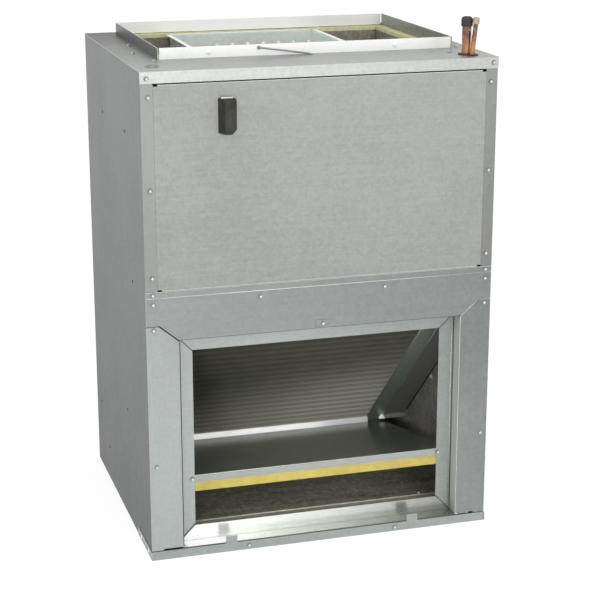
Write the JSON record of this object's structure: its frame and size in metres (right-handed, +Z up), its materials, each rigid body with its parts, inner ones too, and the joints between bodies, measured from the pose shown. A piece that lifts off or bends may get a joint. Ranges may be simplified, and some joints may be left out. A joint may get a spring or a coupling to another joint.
{
  "type": "air handling unit",
  "caption": "Upright galvanised air handling unit with a filter recess, slanted coil and drain pan low in front, a screwed access panel above, and a duct collar and copper stubs on top.",
  "frame": {"origin": "middle of the base, on the floor", "axes": "+Z up, +X to the right seen from the front, -Y out of the front with the return opening"},
  "size_m": [0.6124, 0.5279, 0.9018],
  "materials": {
    "galvanised": "galvanised sheet, satin with a fine spangle",
    "dark_sheet": "dark satin sheet",
    "black_plastic": "moulded, matt",
    "rubber": "moulded, matt",
    "beige_plastic": "moulded, matt",
    "ceramic": "glazed ceramic",
    "glass_wool": "cut fibre board",
    "faced_liner": "black-faced fibre board",
    "fins": "packed thin fins",
    "copper": "drawn copper"
  },
  "bodies": {
    "root": {"base_pan": "galvanised", "front_base_rail": "galvanised", "left_side_panel": "galvanised", "right_side_panel": "galvanised", "back_panel": "galvanised", "top_panel": "galvanised", "access_panel": "galvanised", "panel_pull": "black_plastic", "mid_rail": "galvanised", "return_header": "galvanised", "return_stile_left": "galvanised", "return_stile_right": "galvanised", "return_sill": "galvanised", "header_clip": "galvanised", "collar_front": "galvanised", "collar_back": "galvanised", "collar_left": "galvanised", "collar_right": "galvanised", "collar_stay": "galvanised", "plenum_deck": "galvanised", "plenum_boards": "glass_wool", "duct_left": "galvanised", "duct_right": "galvanised", "duct_back": "galvanised", "duct_front": "galvanised", "heater_rail": "galvanised", "heater_bushings": "ceramic", "blower_scroll": "galvanised", "blower_cheek_left": "galvanised", "blower_cheek_right": "galvanised", "blower_wheel": "galvanised", "blower_motor": "dark_sheet", "liner_left": "faced_liner", "liner_right": "faced_liner", "liner_back": "faced_liner", "floor_liner": "faced_liner", "coil_fin_pack": "fins", "coil_end_plate_left": "galvanised", "coil_end_plate_right": "galvanised", "coil_foot_channel": "galvanised", "coil_top_baffle": "galvanised", "blank_off_left": "dark_sheet", "blank_off_right": "dark_sheet", "drain_pan": "galvanised", "pan_insulation": "glass_wool", "suction_tube": "copper", "liquid_tube": "copper", "suction_cap": "rubber", "liquid_cap": "beige_plastic", "tube_grommet": "rubber"}
  },
  "joints": []
}
